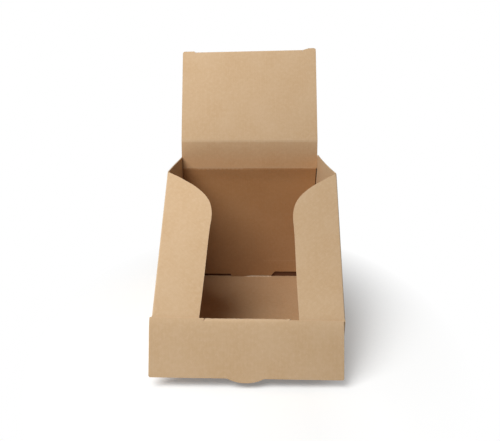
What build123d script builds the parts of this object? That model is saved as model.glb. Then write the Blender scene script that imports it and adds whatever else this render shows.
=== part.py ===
from build123d import *
from math import atan2, cos, radians, sin, tan
import os

# Corrugated counter display box, one die-cut sheet folded up and locked. X runs across the box,
# Y from its open front to its back and Z up. The origin is the middle of the floor's underside.

# Board
board = 1.2
fold_radius = 0.8

# Box body
width = 160.0
depth = 196.0
side_height = 154.0
slope_run = 103.5
slope_foot = 53.0
back_height = 140.5

# Wings along the sloped edges, each with a flange that turns down in front of the front wall
wing_root = 38.2
wing_width = 45.2
wing_drop = 46.5
crest_width = 36.0
crest_drop = 23.5
crest_bulge = 1.7
flange_drop = 41.0
flange_taper = 6.0
flange_corner = 4.0

# Front wall, rolled over at its top, with the flap that hangs from the roll
front_height = 53.9
roll_width = 70.6
roll_radius = 2.2
flap_length = 47.5
flap_lean = 20.0
flap_ear = 1.2
flap_corner = 1.5
flap_slit = 0.4
lock_width = 33.0
lock_depth = 4.3
lock_play = 1.0
lock_slot_height = 2.2

# Back wall, whose inner leaf stands in a slit in the floor on its lock tab
heel_gap = 3.0
heel_width = 52.8
heel_chamfer = 2.5
heel_slit = 0.6

# Lid, a strip and a panel on two creases, standing up as the display's header
lid_play = 0.3
strip_height = 32.0
strip_lean = 8.0
strip_relief = 2.0
strip_relief_height = 9.0
panel_height = 108.0
panel_lean = 23.0
panel_corner = 2.5
turn_width = 126.0
turn_length = 28.0
turn_gap = 0.5
turn_spring = 4.0
turn_inset = 4.0
turn_corner = 5.0
ear_rise = 1.0
ear_slit = 0.4

# Room left at the creases that bend
crease_play = 0.2

# Places worked out from the sizes
half_width = width / 2
front_y = -depth / 2
back_y = depth / 2
inner_half = half_width - board
lid_half = inner_half - lid_play
wall_y = front_y + board
heel_y = back_y - 2 * board
slope_angle = atan2(side_height - slope_foot, slope_run)
slope_length = (side_height - slope_foot) / sin(slope_angle)
knuckle = board / 2 + crease_play


def leaning_plane(y, z, lean):
    """Plane of a panel that leans back: its X runs across the box, its Y up the panel."""
    tilt = radians(lean)
    return Plane(origin=(0, y, z), x_dir=(1, 0, 0), z_dir=(0, -cos(tilt), sin(tilt)))


def edge_plane(y, z, lean):
    """Plane across the same panel: its X runs up the panel, its Y out of the panel's front."""
    tilt = radians(lean)
    return Plane(origin=(0, y, z), x_dir=(0, sin(tilt), cos(tilt)), z_dir=(1, 0, 0))


def up_the_panel(y, z, length, lean):
    """Y and Z of the point reached by going up a leaning panel."""
    tilt = radians(lean)
    return y + length * sin(tilt), z + length * cos(tilt)


def bend_section(centre, inner_radius, start, sweep):
    """Cross-section of a bend in the board, its centre given as Y and Z."""
    with BuildSketch(Plane.YZ) as section:
        with BuildLine():
            outer_arc = CenterArc(centre, inner_radius + board, start, sweep)
            inner_arc = CenterArc(centre, inner_radius, start, sweep)
            Line(outer_arc @ 0, inner_arc @ 0)
            Line(outer_arc @ 1, inner_arc @ 1)
        make_face()
    return section.sketch


# Tray: floor, side walls, double back wall, front wall with its roll, and the two wings
slope_plane = Plane(
    origin=(0, front_y, slope_foot),
    x_dir=(1, 0, 0),
    z_dir=(0, -sin(slope_angle), cos(slope_angle)),
)
roll_y = front_y + 2 * board - roll_radius
roll_z = front_height - roll_radius
wall_top = back_height - knuckle

with BuildPart() as tray:
    # Side walls, cut to the slope of the mouth
    for side in (-1, 1):
        with BuildSketch(Plane.YZ.offset(side * half_width)):
            Polygon(
                (front_y, 0),
                (back_y, 0),
                (back_y, side_height),
                (front_y + slope_run, side_height),
                (front_y, slope_foot),
                align=None,
            )
        extrude(amount=-side * board)
    # Floor
    with BuildSketch(Plane.XY):
        with Locations((0, (wall_y + back_y) / 2)):
            Rectangle(width, back_y - wall_y)
    extrude(amount=board)
    # Back wall of two leaves, one against the other
    with BuildSketch(Plane.XZ.offset(-back_y)):
        with Locations((0, wall_top / 2)):
            Rectangle(width, wall_top)
    extrude(amount=2 * board)
    # Wings, folded in along the slope, round at the shoulder
    with BuildSketch(slope_plane):
        with BuildLine():
            apex = (half_width, slope_length)
            crest_end = (half_width - crest_width, slope_length - crest_drop)
            shoulder_end = (half_width - wing_width, slope_length - wing_drop)
            root = (half_width - wing_root, 0)
            crest = SagittaArc(apex, crest_end, -crest_bulge)
            TangentArc(crest_end, shoulder_end, tangent=crest % 1)
            Line(shoulder_end, root)
            Line(root, (half_width, 0))
            Line((half_width, 0), apex)
        make_face()
        mirror(about=Plane.YZ)
    extrude(amount=-board)
    # Flanges at the wings' feet, turned down in front of the front wall
    with BuildSketch(Plane.XZ.offset(-front_y)):
        with BuildLine():
            flange_foot = slope_foot - flange_drop
            FilletPolyline(
                (half_width - wing_root, slope_foot),
                (half_width - wing_root + flange_taper, flange_foot),
                (half_width, flange_foot),
                radius=flange_corner,
            )
            Polyline(
                (half_width, flange_foot),
                (half_width, slope_foot),
                (half_width - wing_root, slope_foot),
            )
        make_face()
        mirror(about=Plane.YZ)
    extrude(amount=-board)
    # Front wall
    with BuildSketch(Plane.XZ.offset(-wall_y)):
        with Locations((0, roll_z / 2)):
            Rectangle(2 * inner_half, roll_z)
    extrude(amount=-board)
    # Folds, rounded on their outer side
    side_edges = tray.edges().group_by(Axis.X)
    cross_edges = tray.edges().filter_by(Axis.X)
    side_folds = (side_edges[0] + side_edges[-1]).filter_by_position(Axis.Z, 0, back_height)
    floor_folds = cross_edges.group_by(Axis.Z)[0].sort_by(SortBy.LENGTH)[-2:]
    wing_bends = cross_edges.group_by(Axis.Y)[0].group_by(Axis.Z)[-1]
    fillet(side_folds + floor_folds + wing_bends, fold_radius)
    # Roll at the front wall's top, as far round as the plane of the flap that hangs from it
    extrude(
        bend_section((roll_y, roll_z), roll_radius - board, 0, 180 - flap_lean),
        amount=roll_width / 2,
        both=True,
    )
    # Bottom edge of the inner back leaf, clear of the floor on either side of its lock tab
    with BuildSketch(Plane.XZ.offset(-heel_y)):
        with BuildLine():
            Polyline(
                (heel_width / 2, board),
                (heel_width / 2 + heel_chamfer, board + heel_gap),
                (inner_half, board + heel_gap),
                (inner_half, board),
                close=True,
            )
        make_face()
        mirror(about=Plane.YZ)
    extrude(amount=-board, mode=Mode.SUBTRACT)
    # Slit in the floor in front of that tab
    with BuildSketch(Plane.XY):
        with Locations((0, heel_y - heel_slit / 2)):
            Rectangle(heel_width, heel_slit)
    extrude(amount=board, mode=Mode.SUBTRACT)
    # Slot at the foot of the front wall for the flap's lock tab
    with BuildSketch(Plane.XZ.offset(-wall_y)):
        with Locations((0, board + lock_slot_height / 2)):
            Rectangle(lock_width + 2 * lock_play, lock_slot_height)
    extrude(amount=-board, mode=Mode.SUBTRACT)

# Front flap, hanging from the roll and sprung out, with a half-moon lock tab on its bottom edge
roll_end_y = roll_y - roll_radius * cos(radians(flap_lean))
roll_end_z = roll_z + roll_radius * sin(radians(flap_lean))
flap_mitre = board * tan(radians(flap_lean))

with BuildPart() as front_flap:
    with BuildSketch(leaning_plane(roll_end_y, roll_end_z, flap_lean)):
        with Locations((0, -flap_length)):
            Rectangle(width, flap_length + flap_ear, align=(Align.CENTER, Align.MIN))
        fillet(vertices().group_by(Axis.Y)[0], flap_corner)
        with Locations((0, -crease_play - flap_mitre)):
            Rectangle(
                roll_width + 2 * flap_slit,
                flap_length,
                align=(Align.CENTER, Align.MIN),
                mode=Mode.SUBTRACT,
            )
        with BuildLine():
            chord = Line((-lock_width / 2, -flap_length), (lock_width / 2, -flap_length))
            SagittaArc(chord @ 0, chord @ 1, -lock_depth)
        make_face()
    extrude(amount=-board)
    # Mitred top edge at the roll, so that the flap can close
    with BuildSketch(edge_plane(roll_end_y, roll_end_z, flap_lean)):
        Polygon(
            (-crease_play, 0),
            (-crease_play - flap_mitre, 0),
            (-crease_play - flap_mitre, -board),
            align=None,
        )
    extrude(amount=roll_width / 2, both=True)

# Header's lower strip, rising from the back wall
lid_crease_y = back_y - 3 * board / 2
lid_crease_z = back_height

with BuildPart() as header_strip:
    with BuildSketch(leaning_plane(lid_crease_y, lid_crease_z, strip_lean)):
        with BuildLine():
            Polyline(
                (lid_half - strip_relief, 0),
                (lid_half, strip_relief_height),
                (lid_half, strip_height - knuckle),
                (-lid_half, strip_height - knuckle),
                (-lid_half, strip_relief_height),
                (strip_relief - lid_half, 0),
                close=True,
            )
        make_face()
    extrude(amount=board / 2, both=True)
    # Round edge at the lower crease
    with BuildSketch(Plane.YZ):
        with Locations((lid_crease_y, lid_crease_z)):
            Circle(board / 2)
    extrude(amount=lid_half - strip_relief, both=True)

# Header panel, its top edge turned over to the back between two ears
panel_crease = up_the_panel(lid_crease_y, lid_crease_z, strip_height, strip_lean)
turn_radius = board + turn_gap / 2
turn_rise = panel_height - turn_radius
turn_front = up_the_panel(*panel_crease, turn_rise, panel_lean)
turn_centre = up_the_panel(*turn_front, turn_radius - board / 2, panel_lean + 90)

with BuildPart() as header_panel:
    with BuildSketch(leaning_plane(*panel_crease, panel_lean)):
        Rectangle(2 * lid_half, panel_height + ear_rise, align=(Align.CENTER, Align.MIN))
        fillet(vertices().group_by(Axis.Y)[-1], panel_corner)
        with Locations((0, turn_rise)):
            Rectangle(
                turn_width + 2 * ear_slit,
                panel_height,
                align=(Align.CENTER, Align.MIN),
                mode=Mode.SUBTRACT,
            )
    extrude(amount=board / 2, both=True)
    # Round edge at the crease
    with BuildSketch(Plane.YZ):
        with Locations(panel_crease):
            Circle(board / 2)
    extrude(amount=lid_half, both=True)
    # Top fold
    extrude(
        bend_section(turn_centre, turn_gap / 2, turn_spring - panel_lean, 180 - turn_spring),
        amount=turn_width / 2,
        both=True,
    )
    # Turned-over leaf, tapered and round-cornered, sprung a little off the panel's back
    leaf_plane = leaning_plane(*turn_centre, panel_lean - turn_spring)
    with BuildSketch(leaf_plane.offset(-turn_gap / 2)):
        with BuildLine():
            FilletPolyline(
                (turn_width / 2, 0),
                (turn_width / 2 - turn_inset, -turn_length),
                (turn_inset - turn_width / 2, -turn_length),
                (-turn_width / 2, 0),
                radius=turn_corner,
            )
            Line((turn_width / 2, 0), (-turn_width / 2, 0))
        make_face()
    extrude(amount=-board)

tray.part.label = "tray"
front_flap.part.label = "front_flap"
header_strip.part.label = "header_strip"
header_panel.part.label = "header_panel"

os.makedirs("parts", exist_ok=True)
export_step(tray.part, "parts/tray.step")
export_step(front_flap.part, "parts/front_flap.step")
export_step(header_strip.part, "parts/header_strip.step")
export_step(header_panel.part, "parts/header_panel.step")
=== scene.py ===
from math import atan2, ceil, cos, degrees, exp, pi, radians, sin, tan

import bmesh
import bpy
import numpy as np
from mathutils import Matrix, Vector
from mathutils.geometry import delaunay_2d_cdt


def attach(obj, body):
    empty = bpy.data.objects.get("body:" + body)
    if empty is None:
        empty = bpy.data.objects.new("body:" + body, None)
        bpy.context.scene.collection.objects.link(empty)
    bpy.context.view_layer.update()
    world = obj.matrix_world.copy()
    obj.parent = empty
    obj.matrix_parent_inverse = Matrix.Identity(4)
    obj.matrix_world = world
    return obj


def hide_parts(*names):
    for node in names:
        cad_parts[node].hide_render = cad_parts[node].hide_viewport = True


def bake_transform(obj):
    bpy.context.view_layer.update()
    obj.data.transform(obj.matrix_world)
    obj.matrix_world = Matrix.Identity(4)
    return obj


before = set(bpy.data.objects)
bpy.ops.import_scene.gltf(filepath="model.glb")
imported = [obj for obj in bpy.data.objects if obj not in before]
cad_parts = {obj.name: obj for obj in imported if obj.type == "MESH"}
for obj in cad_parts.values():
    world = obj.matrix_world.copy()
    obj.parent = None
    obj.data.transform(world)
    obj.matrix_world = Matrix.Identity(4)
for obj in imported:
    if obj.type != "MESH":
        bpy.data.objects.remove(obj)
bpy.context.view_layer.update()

# Tray: floor, side walls, double back wall, front wall and the two wings. One sheet of brown
# microflute board, die-cut, creased and folded; the wings' flanges are trapped behind the front
# flap, and the inner back leaf locks with its tab into a slit in the floor.
MM = 0.001
BOARD = 1.2
FOLD_OUTER = 1.3
FOLD_INNER = FOLD_OUTER - BOARD
EDGE_ROUND = 0.12
CELL = 5.0
NO_HEIGHT = 1e-4
FLUTE_PITCH = 2.8


class FoldedBoard:
    """A sheet of board laid up in millimetres from panels and the bends between them."""

    def __init__(self):
        self.points = []
        self.marks = []
        self.faces = []

    def add(self, rows, faces, flip):
        """Each row is a place, then how far it lies across the flutes, along them and into the
        board, how much it is creased and how much shade is painted on it down inside the box."""
        first = len(self.points)
        for place, *mark in rows:
            self.points.append(Vector(place))
            self.marks.append(mark)
        self.faces += [[first + i for i in (face[::-1] if flip else face)] for face in faces]

    def panel(self, outline, place, sheet, joined=(), butted=(), holes=(), rows=(), creased=None,
              inner=None):
        """A panel from its outline, anticlockwise in across and up. Place gives a point from
        across, up and depth, and sheet its place on the flat sheet. Edges in joined run on into a
        bend, edges in butted meet the next piece, and rows are the heights where the panel is
        divided. Creased and inner say how much it is creased and how much painted shade it has."""
        creased = creased or (lambda u, v: 0.0)
        inner = inner or (lambda u, v, depth: 0.0)
        flat, spans, rings = [], [], []
        for corners, is_hole in [(outline, False)] + [(hole[::-1], True) for hole in holes]:
            ring = []
            for i, start in enumerate(corners):
                run = Vector(corners[(i + 1) % len(corners)]) - Vector(start)
                inward = Vector((-run.y, run.x)).normalized()
                plain = not is_hole and (i in joined or i in butted)
                rimmed = is_hole or i not in joined
                for share in divisions(Vector(start), run, rows):
                    ring.append((Vector(start) + run * share, inward * (not plain), rimmed))
            eased = []
            for i, (point, inward, rimmed) in enumerate(ring):
                before = ring[i - 1][1]
                shift = (inward + before) / (1 + max(inward.dot(before), -0.5))
                eased.append((point, point + shift * EDGE_ROUND, rimmed))
            count, size = len(flat), len(eased)
            rings.append((count, eased))
            flat += [moved for _, moved, _ in eased]
            spans += [(count + i, count + (i + 1) % size) for i in range(size)]
        flat += inner_points(flat, spans, rows)
        verts, _, tris, *_ = delaunay_2d_cdt(flat, spans, [], 0, 1e-6)
        assert len(verts) == len(flat)
        # Triangles off the board are left out, and those of no height, between points in line
        turns = [(verts[t[1]] - verts[t[0]]).cross(verts[t[2]] - verts[t[0]]) for t in tris]
        tris = [t if turn > 0 else t[::-1] for t, turn in zip(tris, turns) if abs(turn) > NO_HEIGHT
                and on_board(flat, spans, sum((verts[i] for i in t), Vector((0, 0))) / 3)]
        count = len(verts)
        body = [(place(*v, depth * BOARD), *sheet(*v), depth, creased(*v), inner(*v, depth))
                for depth in (0.0, 1.0) for v in verts]
        faces = [list(t) for t in tris] + [[i + count for i in t[::-1]] for t in tris]
        for first, ring in rings:
            base, size = len(body), len(ring)
            for level in (EDGE_ROUND / BOARD, 1 - EDGE_ROUND / BOARD):
                body += [(place(*p, level * BOARD), *sheet(*p), level, creased(*p),
                          inner(*p, level)) for p, _, _ in ring]
            for i in range(size):
                if ring[i][2]:
                    j = (i + 1) % size
                    stack = [(layer + i, layer + j)
                             for layer in (first, base, base + size, count + first)]
                    faces += [[a, c, d, b] for (a, b), (c, d) in zip(stack, stack[1:])]
        x, y = verts[tris[0][0]] * 0.4 + verts[tris[0][1]] * 0.3 + verts[tris[0][2]] * 0.3
        here, across, up, deep = (Vector(place(*spot)) for spot in (
            (x, y, 0), (x + 0.01, y, 0), (x, y + 0.01, 0), (x, y, 0.01)))
        self.add(body, faces, (across - here).cross(up - here).dot(deep - here) > 0)

    def bend(self, start, end, outward, angle, sheet):
        """A bend about the axis from start to end. Outward points from the axis to the outer face
        where the bend begins, and the bend turns by the right-hand rule about the axis."""
        start, end, outward = Vector(start), Vector(end), Vector(outward).normalized()
        axis = (end - start).normalized()
        side = axis.cross(outward)
        shares = divisions(Vector((0, 0)), Vector(((end - start).length, 0)), ()) + [1.0]
        turns = max(4, ceil(abs(degrees(angle)) / 12))
        rows = []
        for depth in (0.0, 1.0):
            radius = FOLD_INNER + BOARD * (1 - depth)
            for share in shares:
                for k in range(turns + 1):
                    turn = angle * k / turns
                    spoke = outward * cos(turn) + side * sin(turn)
                    along = (end - start).length * share
                    rows.append((start + (end - start) * share + spoke * radius,
                                 *sheet(along, abs(turn) * (FOLD_INNER + BOARD / 2)), depth,
                                 sin(pi * k / turns), 0.0))
        width = turns + 1
        back = len(shares) * width
        faces = []
        for i in range(len(shares) - 1):
            for k in range(turns):
                a, b = i * width + k, (i + 1) * width + k
                faces += [[a, b, b + 1, a + 1], [back + a, back + a + 1, back + b + 1, back + b]]
        for i in (0, len(shares) - 1):
            for k in range(turns):
                a = i * width + k
                cap = [a, a + 1, back + a + 1, back + a]
                faces.append(cap if i == 0 else cap[::-1])
        self.add(rows, faces, angle > 0)

    def finish(self, name, warp, node):
        """The laid-up board as one object in metres, eased out of true by warp."""
        mesh = bpy.data.meshes.new(name)
        mesh.from_pydata(self.points, [], self.faces)
        corners = np.array(self.marks, np.float32)[[i for face in self.faces for i in face]]
        mesh.attributes.new("sheet", "FLOAT_VECTOR", "CORNER").data.foreach_set(
            "vector", corners[:, :3].ravel())
        for label, column in (("crease", 3), ("inside", 4)):
            mesh.attributes.new(label, "FLOAT", "CORNER").data.foreach_set(
                "value", np.ascontiguousarray(corners[:, column]))
        shell = bmesh.new()
        shell.from_mesh(mesh)
        loose = [vert for vert in shell.verts if not vert.link_faces]
        bmesh.ops.delete(shell, geom=loose, context="VERTS")
        seams = [vert for vert in shell.verts if vert.is_boundary]
        bmesh.ops.remove_doubles(shell, verts=seams, dist=0.01)
        for vert in shell.verts:
            vert.co = warp(vert.co.copy()) * MM
        shell.to_mesh(mesh)
        shell.free()
        mesh.materials.append(kraft)
        mesh.shade_smooth()
        mesh.set_sharp_from_angle(angle=radians(32))
        piece = bpy.data.objects.new(name, mesh)
        bpy.context.scene.collection.objects.link(piece)
        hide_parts(node)
        return piece


def divisions(start, run, rows):
    """Where an edge is divided: evenly, and where it crosses the rows of a bend."""
    length = run.length
    steps = max(1, ceil(length / CELL - 0.01))
    crossings = []
    if abs(run.y) > 1e-6:
        crossings = [(row - start.y) / run.y for row in rows]
        crossings = [s for s in crossings if 0.04 < s * length < length - 0.04]
    even = [k / steps for k in range(1, steps)
            if all(abs(k / steps - s) * length > 0.4 for s in crossings)]
    return [0.0] + sorted(even + crossings)


def on_board(flat, spans, point):
    """Whether a point lies on the board, by counting the outline's edges to its right."""
    hits = 0
    for a, b in spans:
        p, q = flat[a], flat[b]
        if (p.y > point.y) != (q.y > point.y):
            if point.x < (q.x - p.x) * (point.y - p.y) / (q.y - p.y) + p.x:
                hits += 1
    return hits % 2 == 1


def inner_points(flat, spans, rows):
    """Points over the board in even rows and on the rows of a bend, clear of its outline."""
    starts = np.array([flat[a] for a, _ in spans])
    runs = np.array([flat[b] for _, b in spans]) - starts
    low, high = starts.min(0), starts.max(0)
    levels = [(y, CELL * 0.45) for y in np.arange(low[1] + CELL / 2, high[1], CELL)
              if all(abs(y - row) > CELL * 0.4 for row in rows)]
    points = []
    for y, clear in levels + [(row, 0.6) for row in rows]:
        for x in np.arange(low[0] + CELL / 2, high[0], CELL):
            point = np.array((x, y))
            share = ((point - starts) * runs).sum(1) / (runs * runs).sum(1)
            nearest = starts + runs * np.clip(share, 0, 1)[:, None]
            if (np.hypot(*(nearest - point).T).min() > clear
                    and on_board(flat, spans, Vector((x, y)))):
                points.append(Vector((x, y)))
    return points


class Link:
    """A socket of a shader graph, so that shader maths reads as a plain expression."""

    def __init__(self, graph, socket):
        self.graph = graph
        self.socket = socket

    def maths(self, operation, *values):
        return self.graph.node("ShaderNodeMath", {"operation": operation}, values)

    def __add__(self, other): return self.maths("ADD", self, other)
    def __radd__(self, other): return self.maths("ADD", other, self)
    def __sub__(self, other): return self.maths("SUBTRACT", self, other)
    def __rsub__(self, other): return self.maths("SUBTRACT", other, self)
    def __mul__(self, other): return self.maths("MULTIPLY", self, other)
    def __rmul__(self, other): return self.maths("MULTIPLY", other, self)
    def __gt__(self, other): return self.maths("GREATER_THAN", self, other)
    def __lt__(self, other): return self.maths("LESS_THAN", self, other)

    def sine(self): return self.maths("SINE", self)
    def size(self): return self.maths("ABSOLUTE", self)

    def spread(self, low, high):
        """0 below low and 1 above high, straight between them."""
        return self.graph.node("ShaderNodeMapRange", {"clamp": True},
                               {"Value": self, "From Min": low, "From Max": high})


class Graph:
    """A material's shader graph."""

    def __init__(self, name):
        self.material = bpy.data.materials.new(name)
        self.material.use_nodes = True
        self.tree = self.material.node_tree
        self.surface = self.tree.nodes["Principled BSDF"]

    def node(self, kind, settings=None, values=None, output=0):
        """A node of any type, its settings set first, then its sockets' values or links."""
        node = self.tree.nodes.new(kind)
        for key, value in (settings or {}).items():
            setattr(node, key, value)
        pairs = values.items() if isinstance(values, dict) else enumerate(values or ())
        for key, value in pairs:
            self.feed(node.inputs[key], value)
        return Link(self, node.outputs[output])

    def feed(self, socket, value):
        if isinstance(value, Link):
            self.tree.links.new(value.socket, socket)
        elif value is not None:
            socket.default_value = value

    def mix(self, share, first, second):
        """Two colours mixed by a share."""
        node = self.tree.nodes.new("ShaderNodeMix")
        node.data_type = "RGBA"
        for socket, value in zip((node.inputs[0], node.inputs[6], node.inputs[7]),
                                 (share, first, second)):
            self.feed(socket, value)
        return Link(self, node.outputs[2])

    def noise(self, place, scale, detail=2.0, roughness=0.5):
        return self.node("ShaderNodeTexNoise", {}, {
            "Vector": place, "Scale": scale, "Detail": detail, "Roughness": roughness})

    def stretch(self, place, scale, turn=0.0):
        """Texture coordinates turned in the board's plane and stretched."""
        return self.node("ShaderNodeMapping", {}, {
            "Vector": place, "Rotation": (0, 0, turn), "Scale": scale})


# Linear colours: the brown liner, its darker and paler fibres, the cut edge, the painted shade in
# the fluting's hollows, then the painted shade down inside the box and between the back leaves
LINER = (0.600, 0.414, 0.244, 1)
LINER_WARM = (0.580, 0.389, 0.219, 1)
LINER_PALE = (0.650, 0.468, 0.292, 1)
FIBRE_DARK = (0.330, 0.200, 0.105, 1)
FIBRE_PALE = (0.760, 0.600, 0.430, 1)
CUT_EDGE = (0.640, 0.455, 0.285, 1)
FLUTE_SHADE = (0.215, 0.125, 0.062, 1)
DEEP_SHADE = (0.68, 0.49, 0.33)
GAP_SHADE = (0.130, 0.056, 0.026, 1)


def kraft_board():
    """Uncoated brown microflute board: cloudy, fibrous liner, a faint washboard from the flutes,
    scuffed creases, and the fluting between its liners along the cut edges."""
    graph = Graph("kraft board")
    sheet = graph.node("ShaderNodeAttribute", {"attribute_name": "sheet"}, output=1)
    crease, inside = (graph.node("ShaderNodeAttribute", {"attribute_name": name}, output=2)
                      for name in ("crease", "inside"))
    parts = graph.tree.nodes.new("ShaderNodeSeparateXYZ")
    graph.feed(parts.inputs[0], sheet)
    across, along, depth = (Link(graph, parts.outputs[i]) for i in range(3))
    place = graph.stretch(sheet, (1, 1, 7))

    clouds = graph.noise(place, 0.03, 3.0)
    mottle = graph.noise(place, 0.28, 4.0, 0.6)
    pulp = graph.noise(place, 2.4, 3.0, 0.65)
    colour = graph.mix(clouds.spread(0.35, 0.65), LINER, LINER_WARM)
    colour = graph.mix(mottle.spread(0.42, 0.72) * 0.5, colour, LINER_PALE)
    colour = graph.mix(pulp.spread(0.52, 0.75) * 0.16, colour, FIBRE_PALE)
    for turn, tone, limit, share in ((0.3, FIBRE_DARK, 0.66, 0.30), (1.4, FIBRE_DARK, 0.68, 0.26),
                                     (2.3, FIBRE_PALE, 0.66, 0.34), (0.9, FIBRE_PALE, 0.67, 0.30)):
        strands = graph.noise(graph.stretch(place, (3.4, 0.42, 1), turn), 1.0, 2.0, 0.4)
        colour = graph.mix(strands.spread(limit, limit + 0.08) * share, colour, tone)
    specks = graph.noise(place, 1.5, 1.0, 0.3)
    colour = graph.mix(specks.spread(0.755, 0.79) * 0.55, colour, FIBRE_DARK)

    # Ribs of the flutes under the liner
    flutes = (across * (2 * pi / FLUTE_PITCH)).sine()
    rib = flutes * clouds.spread(0.2, 0.8)
    colour = graph.mix(rib.spread(0.0, 1.0) * 0.05, colour, FIBRE_DARK)

    # Creases, where the liner is crushed and its fibres lift
    worn = crease * graph.noise(place, 0.9, 2.0).spread(0.20, 0.60)
    colour = graph.mix(worn * 0.40, colour, FIBRE_PALE)

    # Cut edges: two liners with the wavy fluting between them, half closed by the knife
    # The hollows between the liners and the fluting are painted dark, as their shade
    rim = (depth > 0.03) * (depth < 0.97)
    wave = 0.5 + 0.30 * flutes
    off_wave = (depth - wave).size().spread(0.09, 0.17)
    off_liner = (depth - 0.5).size().spread(0.38, 0.32)
    crushed = graph.noise(place, 1.1, 2.0).spread(0.35, 0.75)
    gap = off_wave * off_liner * (1.0 - crushed * 0.75)
    colour = graph.mix(rim, colour, graph.mix(gap * 0.8, CUT_EDGE, FLUTE_SHADE))

    # Painted shade down inside the box, which makes up for light that reaches too far down into it
    deep = graph.node("ShaderNodeVectorMath", {"operation": "MULTIPLY"}, [colour, DEEP_SHADE])
    colour = graph.mix(inside, colour, deep)
    # Darker painted shade in the gap between the back leaves
    colour = graph.mix(inside.spread(1.0, 2.0), colour, GAP_SHADE)

    height = pulp * 0.5 + mottle * 0.3 + rib * 0.25 - rim * gap * 2.0
    bump = graph.node("ShaderNodeBump", {}, {
        "Strength": 0.35, "Distance": 0.00012, "Height": height})
    graph.feed(graph.surface.inputs["Base Color"], colour)
    graph.feed(graph.surface.inputs["Roughness"], 0.86 - mottle * 0.12)
    graph.feed(graph.surface.inputs["Normal"], bump)
    graph.surface.inputs["Specular IOR Level"].default_value = 0.28
    return graph.material


kraft = kraft_board()

HALF_WIDTH = 80.0
FRONT_Y = -98.0
BACK_Y = 98.0
SIDE_HEIGHT = 154.0
SLOPE_FOOT = 53.0
SLOPE_RUN = 103.5
SLOPE = atan2(SIDE_HEIGHT - SLOPE_FOOT, SLOPE_RUN)
WALL_Y = FRONT_Y + BOARD
APEX_Y = FRONT_Y + SLOPE_RUN
BACK_TOP = 139.7
FLOOR_HALF = HALF_WIDTH - FOLD_OUTER
FLOOR_FRONT = WALL_Y + FOLD_OUTER
FLOOR_BACK = BACK_Y - FOLD_OUTER
ROLL_Z = 51.7
ROLL_HALF = 35.3
TAB_HALF = 26.4
SLIT_FRONT, SLIT_BACK = 95.0, 96.3
LIP_LEFT = -4
LIP_RISE = 1.2

tray = FoldedBoard()


def clamp(value):
    return min(max(value, 0.0), 1.0)


def on_lip(u, v):
    """The slit's front lip, lifted by the tab: pale as broken liner and as a painted highlight."""
    return float(LIP_LEFT < u < TAB_HALF + 0.5 and SLIT_FRONT - 1.3 < v < SLIT_FRONT + 1)


# Floor, with the slit that takes the inner back leaf's tab
tray.panel(
    [(-FLOOR_HALF, FLOOR_FRONT), (FLOOR_HALF, FLOOR_FRONT), (FLOOR_HALF, FLOOR_BACK),
     (-FLOOR_HALF, FLOOR_BACK)],
    lambda u, v, w: (u, v, w), lambda u, v: (u, v), joined=(0, 1, 2, 3),
    holes=[[(-TAB_HALF, SLIT_FRONT), (TAB_HALF, SLIT_FRONT), (TAB_HALF, SLIT_BACK),
            (-TAB_HALF, SLIT_BACK)]],
    # The floor's top face takes painted shade, all but the lip
    rows=(93.3, 93.8), inner=lambda u, v, depth: 0.4 * (depth > 0.97) * (1 - on_lip(u, v)),
    # The lip is painted pale, for its broken liner and as a painted highlight
    creased=lambda u, v: 3 * on_lip(u, v))

# Side walls, with the bends that join them to the floor, the back wall and the wings
slope_run = Vector((cos(SLOPE), sin(SLOPE)))
fold_in = Vector((sin(SLOPE), -cos(SLOPE))) * FOLD_OUTER
WALL_FRONT = WALL_Y + 0.05
FOLD_START = 1.6
FOLD_END = 144.0


def on_slope(s):
    """The axis of the wing's fold, as a place in Y and Z."""
    return Vector((FRONT_Y, SLOPE_FOOT)) + slope_run * s + fold_in


for side in (1, -1):
    wall = [(WALL_FRONT, FOLD_OUTER), (FLOOR_FRONT, FOLD_OUTER), (FLOOR_BACK, FOLD_OUTER),
            (FLOOR_BACK, BACK_TOP), (BACK_Y, BACK_TOP), (BACK_Y, SIDE_HEIGHT),
            (APEX_Y + FOLD_OUTER * 1.4, SIDE_HEIGHT), tuple(on_slope(FOLD_END)),
            tuple(on_slope(FOLD_START)), (WALL_FRONT, SLOPE_FOOT - 0.6)]
    tray.panel(wall, lambda u, v, w: (side * (HALF_WIDTH - w), u, v),
               lambda u, v: (side * (HALF_WIDTH + v), u), joined=(1, 2, 7),
               # Painted shade on the walls' inner faces, darker towards the floor
               inner=lambda u, v, depth: (depth > 0.97) * clamp((130 - v) / 60))
    edge = side * FLOOR_HALF
    tray.bend((edge, FLOOR_FRONT, FOLD_OUTER), (edge, FLOOR_BACK, FOLD_OUTER), (0, 0, -1),
              side * -pi / 2, lambda along, turn: (side * (FLOOR_HALF + turn), along + FLOOR_FRONT))
    tray.bend((edge, FLOOR_BACK, FOLD_OUTER), (edge, FLOOR_BACK, BACK_TOP), (side, 0, 0),
              side * pi / 2,
              lambda along, turn: (side * (HALF_WIDTH + along + FOLD_OUTER), FLOOR_BACK + turn))
    tray.bend((edge, *on_slope(FOLD_START)), (edge, *on_slope(FOLD_END)), (side, 0, 0),
              side * -pi / 2,
              lambda along, turn: (
                  side * (HALF_WIDTH + SLOPE_FOOT + along * sin(SLOPE) + turn * cos(SLOPE)),
                  FRONT_Y + along * cos(SLOPE) - turn * sin(SLOPE)))

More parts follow.
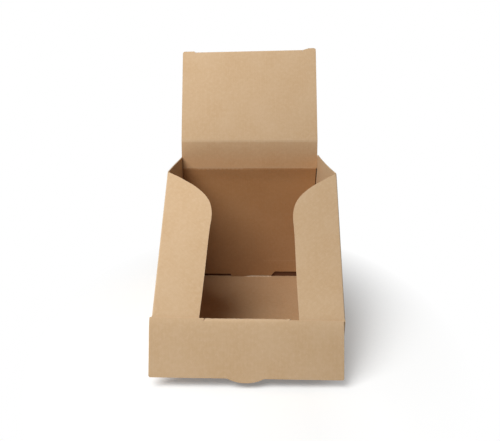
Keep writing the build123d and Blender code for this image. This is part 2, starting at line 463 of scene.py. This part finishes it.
# Outer back leaf and front wall. The front wall runs on over its top into the roll, and has the
# slot for the front flap's tab at its foot.
SLOT_HALF, SLOT_FOOT, SLOT_TOP = 17.5, 1.8, 3.4
tray.panel(
    [(-FLOOR_HALF, FOLD_OUTER), (FLOOR_HALF, FOLD_OUTER), (FLOOR_HALF, BACK_TOP),
     (-FLOOR_HALF, BACK_TOP)],
    lambda u, v, w: (-u, BACK_Y - w, v), lambda u, v: (-u, BACK_Y + v), joined=(0, 1, 3),
    # Its inner face, seen only through the gaps at the inner leaf's foot, takes the darkest painted
    # shade
    inner=lambda u, v, depth: 2.0 * (depth > 0.97))
tray.bend((-FLOOR_HALF, FLOOR_BACK, FOLD_OUTER), (FLOOR_HALF, FLOOR_BACK, FOLD_OUTER),
          (0, 0, -1), pi / 2, lambda along, turn: (along - FLOOR_HALF, FLOOR_BACK + turn))
tray.panel(
    [(-FLOOR_HALF, FOLD_OUTER), (FLOOR_HALF, FOLD_OUTER), (FLOOR_HALF, ROLL_Z),
     (ROLL_HALF, ROLL_Z), (-ROLL_HALF, ROLL_Z), (-FLOOR_HALF, ROLL_Z)],
    lambda u, v, w: (u, WALL_Y + w, v), lambda u, v: (u, FRONT_Y - v), joined=(0,), butted=(3,),
    holes=[[(-SLOT_HALF, SLOT_FOOT), (SLOT_HALF, SLOT_FOOT), (SLOT_HALF, SLOT_TOP),
            (-SLOT_HALF, SLOT_TOP)]])
tray.bend((-FLOOR_HALF, FLOOR_FRONT, FOLD_OUTER), (FLOOR_HALF, FLOOR_FRONT, FOLD_OUTER),
          (0, -1, 0), pi / 2, lambda along, turn: (along - FLOOR_HALF, FRONT_Y + turn))


class BentLine:
    """The middle line of a bent board in Y and Z, through arcs of a length and a turn. A heading
    of 0 points up, and a positive turn leans the board back."""

    def __init__(self, start, arcs):
        self.arcs = []
        s, (y, z), heading = 0.0, start, 0.0
        for length, turn in arcs:
            self.arcs.append((s, y, z, heading, radians(turn) / length))
            y, z, heading = self.at(s + length)
            s += length

    def at(self, s):
        """The place and heading at a length along the line."""
        start, y, z, heading, curve = [arc for arc in self.arcs
                                       if arc[0] <= s + 1e-9 or arc[0] == 0][-1]
        run = s - start
        if abs(curve) < 1e-9:
            return y + run * sin(heading), z + run * cos(heading), heading
        end = heading + curve * run
        return (y + (cos(heading) - cos(end)) / curve, z + (sin(end) - sin(heading)) / curve, end)

    def place(self, u, s, w, face=1):
        """A point at a width and a length, and at a depth below the face that looks forward."""
        y, z, heading = self.at(s)
        rise = face * (BOARD / 2 - w)
        return Vector((u, y - cos(heading) * rise, z + sin(heading) * rise))


# Inner back leaf, which runs on into the header. It springs forward a little under the crease.
LEAF_Y = BACK_Y - 1.5 * BOARD
LID_CREASE = 140.6
PANEL_CREASE = 172.6
PANEL_TURN = 106.0
TURN_LENGTH, TURNED_LEAF = 2.61, 28.0
back_line = BentLine((LEAF_Y, 0.0), [
    (124.0, 0), (7.0, -6), (8.0, 0), (3.2, 20), (7.5, 0), (7.0, -6), (15.0, 0), (1.8, 15),
    (PANEL_TURN - 0.9, 0), (TURN_LENGTH, 176), (TURNED_LEAF, 0)])
LEAF_SEAM = 138.0
HEEL_LEFT, HEEL_RIGHT = 4.4, 7.8
LEAF_LEFT, LEAF_RIGHT = 78.3, 77.6
FAINT_FOLD = 23


def ease(value):
    """0 below 0, 1 above 1, and a smooth step between."""
    value = clamp(value)
    return value * value * (3 - 2 * value)


def ridge(value, middle, width):
    """1 at the middle of a crease, falling away smoothly to both sides."""
    return exp(-((value - middle) / width) ** 2)


def back_sheet(u, v):
    return u, 700 + v


def painted_leaf_shade(u, v, depth):
    """Painted shade on the leaf's front, strongest below the lower crease, fading up the strip."""
    if v < LID_CREASE:
        return (depth < 0.03) * min(0.75 + 0.3 * v / LID_CREASE, 1.0)
    return (depth < 0.03) * (0.2 + 0.5 * clamp((PANEL_CREASE - v) / 25))


tray.panel(
    [(-LEAF_LEFT, HEEL_LEFT), (3.0 - TAB_HALF, HEEL_LEFT), (4.0 - TAB_HALF, 1.4),
     (4.0 - TAB_HALF, 0.05), (TAB_HALF, 0.05), (TAB_HALF, 1.4), (TAB_HALF + 0.8, 1.5),
     (TAB_HALF + 6.0, HEEL_RIGHT), (LEAF_RIGHT, HEEL_RIGHT),
     (LEAF_RIGHT, LEAF_SEAM), (-LEAF_LEFT, LEAF_SEAM)],
    back_line.place, back_sheet, butted=(9,), rows=(FAINT_FOLD - 1, FAINT_FOLD, FAINT_FOLD + 1),
    # The leaf's front face takes painted shade
    inner=painted_leaf_shade,
    creased=lambda u, v: 0.9 * ridge(v, FAINT_FOLD, 0.8) * ease((u - 12) / 10))

# Wings, folded in along the slope, with their flanges turned down in front of the front wall
WING_ROOT = 38.2
CREST = [(38.2, 0.55), (40.6, 37.0), (42.6, 72.0), (43.6, 84.0), (44.4, 92.0), (44.3, 99.0),
         (42.9, 106.0), (40.6, 111.6), (36.8, 117.2), (32.0, 122.5), (25.5, 128.3), (19.0, 132.9),
         (13.5, 136.8), (7.0, 140.9), (1.3, 144.3)]
FOOT_BEND = FOLD_OUTER * tan((pi / 2 - SLOPE) / 2)


def smooth_line(corners, steps):
    """A smooth curve through the corners of an edge that the knife cuts in one sweep."""
    line = []
    ends = [2 * Vector(corners[0]) - Vector(corners[1])] + [Vector(c) for c in corners]
    ends.append(2 * Vector(corners[-1]) - Vector(corners[-2]))
    for a, b, c, d in zip(ends, ends[1:], ends[2:], ends[3:]):
        for t in (k / steps for k in range(steps)):
            line.append(tuple(0.5 * (2 * b + (c - a) * t + (2 * a - 5 * b + 4 * c - d) * t * t
                                     + (3 * b - a - 3 * c + d) * t ** 3)))
    return line + [corners[-1]]


def rounded(corner, radius, start, steps=5):
    """A quarter round at a corner, anticlockwise from a starting angle in degrees."""
    centre = Vector(corner) - Vector((cos(radians(start)) - sin(radians(start)),
                                      sin(radians(start)) + cos(radians(start)))) * radius
    return [tuple(centre + Vector((cos(a), sin(a))) * radius)
            for a in (radians(start + 90 * k / steps) for k in range(steps + 1))]


wing = ([(0, FOOT_BEND), (WING_ROOT, FOOT_BEND)] + smooth_line(CREST, 3)[1:]
        + [(FOLD_OUTER, FOLD_END), (FOLD_OUTER, FOLD_START), (0, FOLD_START)])
flange_top = SLOPE_FOOT - FOOT_BEND
flange = ([(HALF_WIDTH - 32.2, 12.0)] + rounded((HALF_WIDTH, 12.0), 4, 270)
          + [(HALF_WIDTH, flange_top), (HALF_WIDTH - WING_ROOT, flange_top)])
for side in (1, -1):
    def wing_sheet(u, v):
        return (side * (HALF_WIDTH + SLOPE_FOOT + v * sin(SLOPE) + u * cos(SLOPE)),
                FRONT_Y + v * cos(SLOPE) - u * sin(SLOPE))

    tray.panel(wing, lambda u, v, w: (side * (HALF_WIDTH - u),
                                      FRONT_Y + v * cos(SLOPE) + w * sin(SLOPE),
                                      SLOPE_FOOT + v * sin(SLOPE) - w * cos(SLOPE)),
               wing_sheet, joined=(0, len(wing) - 3))
    tray.bend((side * (HALF_WIDTH - WING_ROOT), FRONT_Y + FOLD_OUTER, flange_top),
              (side * HALF_WIDTH, FRONT_Y + FOLD_OUTER, flange_top),
              (0, -1, 0), side * (SLOPE - pi / 2),
              lambda along, turn: wing_sheet(WING_ROOT - along, turn - 0.55))
    tray.panel(flange, lambda u, v, w: (side * u, FRONT_Y + w, v),
               lambda u, v: wing_sheet(HALF_WIDTH - u, v - SLOPE_FOOT), joined=(len(flange) - 2,))


WALL_LEAN = 4.8
WING_LIFT = radians(7)
WING_GATHER, WING_REACH = 1.8, 1.0
FRONT_TILT = -1.5
BACK_TILT = 0.6
CORNER_TILT = 1.7


def tilt(p, back=BACK_TILT):
    """How far a point stands above or below true, as the sheet is not quite square."""
    share = clamp((p.y - FRONT_Y) / (BACK_Y - FRONT_Y))
    height = min(max(p.z - BOARD, 0.0) / 50, 1.0)
    return (FRONT_TILT + (back - FRONT_TILT) * share) * height * p.x / HALF_WIDTH


def tray_warp(p):
    """The right wall leans out towards its free corner, the wings spring up from their foot, and
    the floor lifts a little where the tab goes in."""
    q = p.copy()
    slope_z = min(SLOPE_FOOT + max(p.y - FRONT_Y, 0) * tan(SLOPE), SIDE_HEIGHT)
    climb = (slope_z - SLOPE_FOOT) / (SIDE_HEIGHT - SLOPE_FOOT)
    back_off = min(1.0, (BACK_Y - p.y) / (BACK_Y - APEX_Y))
    if p.x > 0:
        q.x += WALL_LEAN * climb * back_off ** 1.7 * min(max(p.z, 0) / slope_z, 1.0)
    reach = HALF_WIDTH - FOLD_OUTER - abs(p.x)
    if (p.z - slope_z) * cos(SLOPE) > -2.4 and FRONT_Y < p.y < APEX_Y + 3 and reach > 0:
        q += Vector((0, -sin(SLOPE), cos(SLOPE))) * reach * sin(WING_LIFT * ease(climb * 1.25))
        q.x += (WING_GATHER * climb if p.x > 0 else WING_REACH) * reach / WING_ROOT
    corner = ease((p.z - BACK_TOP) / (SIDE_HEIGHT - BACK_TOP)) * ease((p.y - 20) / 78)
    q.z += tilt(p, BACK_TILT + (CORNER_TILT - BACK_TILT) * corner)
    if p.z < BOARD + 0.1 and LIP_LEFT + 1 < p.x < TAB_HALF + 0.2:
        rise = max(1 - abs(p.y - SLIT_FRONT) / 1.7, 0)
        q.z += LIP_RISE * rise * ease((p.x - LIP_LEFT) / 3)
    return q


folded_tray = tray.finish("folded_tray", tray_warp, "tray")
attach(folded_tray, "tray")

# Front flap: it runs on from the roll at the front wall's top, hangs in front of the wall and
# springs out. Its half-moon tab would lock into the slot at the wall's foot. The same sheet.
FLAP_LENGTH = 46.4
FLAP_EAR = 1.2
FLAP_SHIFT = -1.5
FLAP_SAG = 1.5
TAB_WIDTH = 30.4
TAB_SHIFT = -0.8
TAB_DEPTH = 3.6
ROLL_RADIUS, ROLL_TURN = 1.6, 145
ROLL_DROP = 1.1
PIVOT = ROLL_RADIUS * radians(ROLL_TURN)
roll_line = BentLine((WALL_Y + BOARD / 2, ROLL_Z), [
    (PIVOT, -ROLL_TURN), (1.5, -5), (2.5, -4), (3.5, -3), (6.0, -3), (60.0, 0)])
tab_radius = ((TAB_WIDTH / 2) ** 2 + TAB_DEPTH ** 2) / (2 * TAB_DEPTH)
tab_turn = atan2(TAB_WIDTH / 2, tab_radius - TAB_DEPTH)
tab = [(TAB_SHIFT + tab_radius * sin(a),
        -FLAP_LENGTH + tab_radius - TAB_DEPTH - tab_radius * cos(a))
       for a in (tab_turn * (k / 8 - 1) for k in range(17))]
right_corner = rounded((HALF_WIDTH, -FLAP_LENGTH), 1.5, 270, 4)
SLIT = ROLL_HALF + 0.15
flap_outline = (
    tab + right_corner
    + [(HALF_WIDTH, FLAP_EAR), (SLIT, FLAP_EAR), (SLIT, -0.1), (ROLL_HALF, -0.1),
       (ROLL_HALF, PIVOT), (-ROLL_HALF, PIVOT), (-ROLL_HALF, -0.1), (-SLIT, -0.1),
       (-SLIT, FLAP_EAR), (-HALF_WIDTH, FLAP_EAR)]
    + [(-x, y) for x, y in right_corner[::-1]])


def on_flap(u, v, w):
    """The flap follows the roll between its slits. Its ears stand straight up beside it."""
    if v > 0 and abs(u) > ROLL_HALF + 0.1:
        y, z, heading = roll_line.at(PIVOT)
        return roll_line.place(u, PIVOT, w, -1) - Vector((0, sin(heading), cos(heading))) * v
    return roll_line.place(u, PIVOT - v, w, -1)


def flap_warp(p):
    """The flap sits a little to the left, its right end hangs lower, and the roll's left end is
    pressed down a little."""
    q = p.copy()
    q.x += FLAP_SHIFT * ease((WALL_Y + 1 - p.y) / 4)
    if abs(p.x) < ROLL_HALF + 0.1:
        q.z -= ROLL_DROP * ease((p.z - ROLL_Z) / 2.0) * (0.5 - p.x / ROLL_HALF / 2)
    q.z += tilt(p) - FLAP_SAG * (p.x / HALF_WIDTH + 1) / 2 * clamp((ROLL_Z - p.z) / 44)
    return q


front_flap = FoldedBoard()
front_flap.panel(
    flap_outline, on_flap, lambda u, v: (u, FRONT_Y - ROLL_Z - PIVOT + v),
    butted=(len(tab) + len(right_corner) + 4,),
    rows=[PIVOT * k / 13 for k in range(13)] + [-1, -2, -4, -6, -8.5, -11],
    creased=lambda u, v: 0.7 * ridge(v, 2.5, 2) * (abs(u) < ROLL_HALF + 0.1))
hanging_flap = front_flap.finish("hanging_flap", flap_warp, "front_flap")
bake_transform(hanging_flap)

# Header strip: the narrow panel of the same board that rises from the inner back leaf between two
# creases. It runs on from the leaf through the swollen lower crease.
STRIP_SEAM = PANEL_CREASE - 2.2
STRIP_RIGHT, STRIP_SPREAD = 78.7, 149.5
LID_LEFT, LID_RIGHT = 79.6, 78.4
HEADER_TILT = 1.5


def header_tilt(p):
    """The header's right end stands higher, more so towards its top."""
    height = ease((p.z - 165) / 100)
    return (BACK_TILT + (HEADER_TILT - BACK_TILT) * height) * p.x / HALF_WIDTH


def strip_warp(p):
    q = p.copy()
    q.z += header_tilt(p)
    return q


header_strip = FoldedBoard()
header_strip.panel(
    [(-LEAF_LEFT, LEAF_SEAM), (LEAF_RIGHT, LEAF_SEAM), (LEAF_RIGHT, LID_CREASE - 1),
     (STRIP_RIGHT, LID_CREASE), (STRIP_RIGHT, STRIP_SPREAD), (LID_RIGHT, STRIP_SEAM),
     (-LID_LEFT, STRIP_SEAM), (-LID_LEFT, STRIP_SPREAD), (-LEAF_LEFT, LID_CREASE)],
    back_line.place, back_sheet, butted=(0, 5), rows=[139 + 0.4 * k for k in range(9)],
    # The strip's front face takes painted shade, lighter above the lower crease, fading towards the
    # upper one
    creased=lambda u, v: 1.3 * ridge(v, LID_CREASE, 1.1), inner=painted_leaf_shade)
header_foot = header_strip.finish("header_foot", strip_warp, "header_strip")
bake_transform(header_foot)

# Header panel: the tall panel of the same board, which leans back from the upper crease. Its top
# edge is turned over to the back between two ears, and the turned leaf springs a little off it.
TURN_HALF = 63.0
EAR_TOP = 109.0
HEADER_SHIFT = -1.8
LEAF_END = PANEL_TURN + TURN_LENGTH + TURNED_LEAF
PANEL_TWIST = radians(0.9)
PANEL_BOW = 0.7
leaf = rounded((TURN_HALF - 4.0, LEAF_END), 5.0, 0)


def header_side(half, taper, ear_top, ease_off):
    """The right-hand half of the header's outline: its side, its ear and the turned leaf."""
    ear = rounded((half - taper, ear_top), 2.5, 0) + [(TURN_HALF + ease_off, ear_top)]
    slit = [(TURN_HALF + 0.3, PANEL_TURN + 1.0), (TURN_HALF + 0.3, PANEL_TURN - 0.6),
            (TURN_HALF, PANEL_TURN - 0.6), (TURN_HALF, PANEL_TURN + TURN_LENGTH)]
    return [(half, STRIP_SEAM - PANEL_CREASE)] + ear + slit + leaf


header_outline = (header_side(LID_RIGHT, 0.0, EAR_TOP, 7.0)
                  + [(-x, y) for x, y in header_side(LID_LEFT, 1.1, EAR_TOP - 0.7, 2.0)[::-1]])


def on_header(u, v, w):
    """The panel turns over to the back between its slits. Its ears stand straight up."""
    s = PANEL_CREASE + v
    if v > PANEL_TURN and abs(u) > TURN_HALF + 0.1:
        turn = PANEL_CREASE + PANEL_TURN
        heading = back_line.at(turn - 0.01)[2]
        return back_line.place(u, turn, w) + Vector((0, sin(heading), cos(heading))) * (s - turn)
    return back_line.place(u, s, w)


def panel_warp(p):
    """The header is bowed a little, and twisted so that its right end stands more upright."""
    q = p.copy()
    y, z, heading = back_line.at(PANEL_CREASE + 1)
    up, out = Vector((0, sin(heading), cos(heading))), Vector((0, -cos(heading), sin(heading)))
    rise = max((p - Vector((0, y, z))).dot(up), 0)
    share = p.x / LID_RIGHT
    q += out * rise * PANEL_TWIST * share * ease(rise / 60)
    q -= out * PANEL_BOW * sin(pi * min(rise / EAR_TOP, 1)) * (1 - share * share)
    q.x += HEADER_SHIFT * rise / EAR_TOP
    q.z += header_tilt(p)
    return q


header_panel = FoldedBoard()
header_panel.panel(
    header_outline, on_header, lambda u, v: back_sheet(u, PANEL_CREASE + v),
    butted=(len(header_outline) - 1,),
    rows=[-0.9, -0.45, 0, 0.45, 0.9] + [PANEL_TURN + TURN_LENGTH * k / 13 for k in range(14)],
    creased=lambda u, v: (0.3 * ridge(v, 0, 0.9) + 0.7 * ridge(v, PANEL_TURN + 1.3, 1.0)
                          * (abs(u) < TURN_HALF + 0.1)))
header_board = header_panel.finish("header_board", panel_warp, "header_panel")
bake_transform(header_board)

# Ground, light and camera: a white table that keeps the box's shadow, one large soft light from
# the upper left front with a weak fill, and the photograph's viewpoint. The table glows faintly
# where it is near the box, to keep the shadow there pale.
ground = Graph("white table")
rays = ground.tree.nodes.new("ShaderNodeLightPath")
seen = (Link(ground, rays.outputs["Is Camera Ray"]) + Link(ground, rays.outputs["Is Glossy Ray"])
        + Link(ground, rays.outputs["Is Transmission Ray"])) > 0.5
ground.surface.inputs["Base Color"].default_value = (0.80, 0.80, 0.79, 1)
ground.surface.inputs["Roughness"].default_value = 0.9
spot = ground.node("ShaderNodeNewGeometry")
away = ground.node("ShaderNodeVectorMath", {"operation": "LENGTH"},
                   [ground.node("ShaderNodeVectorMath", {"operation": "MULTIPLY"},
                                [spot, (1.0, 0.8, 0.0)])], output=1)
table_lit = ground.node("ShaderNodeBsdfDiffuse", {}, {"Color": (0.86, 0.86, 0.85, 1)})
sideways = ground.node("ShaderNodeVectorMath", {"operation": "DOT_PRODUCT"},
                       [spot, (1.0, 0.0, 0.0)], output=1)
table_glow = ground.node("ShaderNodeMixShader", {}, [sideways.spread(0.05, 0.10)] + [
    ground.node("ShaderNodeEmission", {}, {"Color": (1, 1, 1, 1), "Strength": strength})
    for strength in (0.20, 0.30)])
table_near = ground.node("ShaderNodeAddShader", {}, [table_lit, table_glow])
white = ground.node("ShaderNodeEmission", {}, {"Color": (1, 1, 1, 1), "Strength": 1.0})
table_seen = ground.node("ShaderNodeMixShader", {}, [away.spread(0.105, 0.21), table_near, white])
table = ground.node("ShaderNodeMixShader", {}, [
    seen, Link(ground, ground.surface.outputs[0]), table_seen])
ground.feed(ground.tree.nodes["Material Output"].inputs["Surface"], table)
mesh = bpy.data.meshes.new("ground")
mesh.from_pydata([(-3, -3, 0), (3, -3, 0), (3, 3, 0), (-3, 3, 0)], [], [(0, 1, 2, 3)])
mesh.materials.append(ground.material)
floor = bpy.data.objects.new("ground", mesh)
bpy.context.scene.collection.objects.link(floor)

world = bpy.data.worlds.new("studio")
bpy.context.scene.world = world
world.use_nodes = True
tree = world.node_tree
fill = tree.nodes["Background"]
fill.inputs["Color"].default_value = (1, 1, 1, 1)
fill.inputs["Strength"].default_value = 0.10
sight = tree.nodes.new("ShaderNodeLightPath")
backdrop = tree.nodes.new("ShaderNodeBackground")
backdrop.inputs["Color"].default_value = (1, 1, 1, 1)
backdrop.inputs["Strength"].default_value = 1.0
choose = tree.nodes.new("ShaderNodeMixShader")
tree.links.new(sight.outputs["Is Camera Ray"], choose.inputs[0])
tree.links.new(fill.outputs[0], choose.inputs[1])
tree.links.new(backdrop.outputs[0], choose.inputs[2])
tree.links.new(choose.outputs[0], tree.nodes["World Output"].inputs[0])

KEY_PLACE, KEY_AIM = Vector((-0.43, -0.41, 0.89)), Vector((0, 0, 0.10))
lamp = bpy.data.lights.new("key", "AREA")
lamp.shape = "RECTANGLE"
lamp.size = lamp.size_y = 0.7
lamp.energy = 11.3
key = bpy.data.objects.new("key", lamp)
key.location = KEY_PLACE
key.rotation_euler = (KEY_AIM - KEY_PLACE).to_track_quat("-Z", "Y").to_euler()
key.visible_camera = False
bpy.context.scene.collection.objects.link(key)

FOCAL_PIXELS, PICTURE_WIDTH, SENSOR = 450, 500, 36
camera_data = bpy.data.cameras.new("camera")
camera_data.sensor_width = SENSOR
camera_data.lens = FOCAL_PIXELS * SENSOR / PICTURE_WIDTH
camera_data.clip_start = 0.01
camera = bpy.data.objects.new("camera", camera_data)
camera.matrix_world = (Matrix.Translation((0.0006, -0.4253, 0.2462))
                       @ Matrix.Rotation(pi / 2 - radians(18.14), 4, "X")
                       @ Matrix.Rotation(radians(0.3755), 4, "Z"))
bpy.context.scene.collection.objects.link(camera)
bpy.context.scene.camera = camera
bpy.context.scene.view_settings.view_transform = "Standard"
